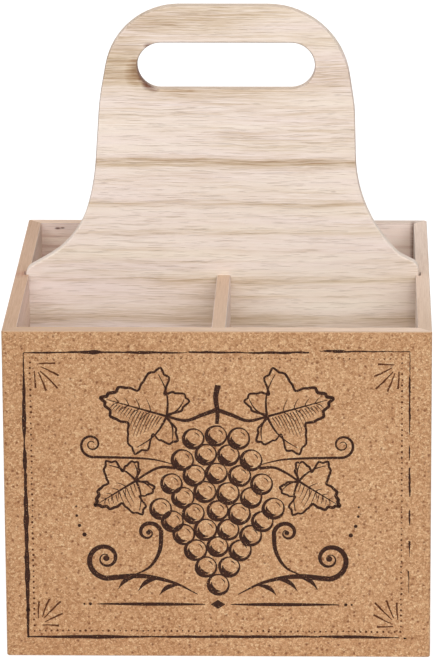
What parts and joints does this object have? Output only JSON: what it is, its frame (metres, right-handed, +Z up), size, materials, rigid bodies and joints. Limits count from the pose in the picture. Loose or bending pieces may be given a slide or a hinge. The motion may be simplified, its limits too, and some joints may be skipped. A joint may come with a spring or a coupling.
{
  "type": "bottle caddy",
  "caption": "Square wooden box with a cork-faced front, crossed dividers for four bottles and a tall central handle board with swept shoulders and an oblong grip slot.",
  "frame": {"origin": "on the resting plane, at the middle of the box's square footprint", "axes": "+Z up; the printed front faces -Y and +X is to the right of someone who looks at it; the handle board stands in the X-Z plane and the divider in the Y-Z plane"},
  "size_m": [0.2, 0.2, 0.2924],
  "materials": {
    "wood": "bare, fine sanded",
    "cork": "bare agglomerated cork sheet",
    "brad_steel": "bright wire",
    "print_ink": "thin matt ink film"
  },
  "bodies": {
    "root": {"front_panel": "wood", "left_panel": "wood", "right_panel": "wood", "back_panel": "wood", "handle_board": "wood", "cross_divider": "wood", "base_panel": "wood", "front_cork": "cork", "corner_brads": "brad_steel", "base_brads": "brad_steel"}
  },
  "joints": []
}
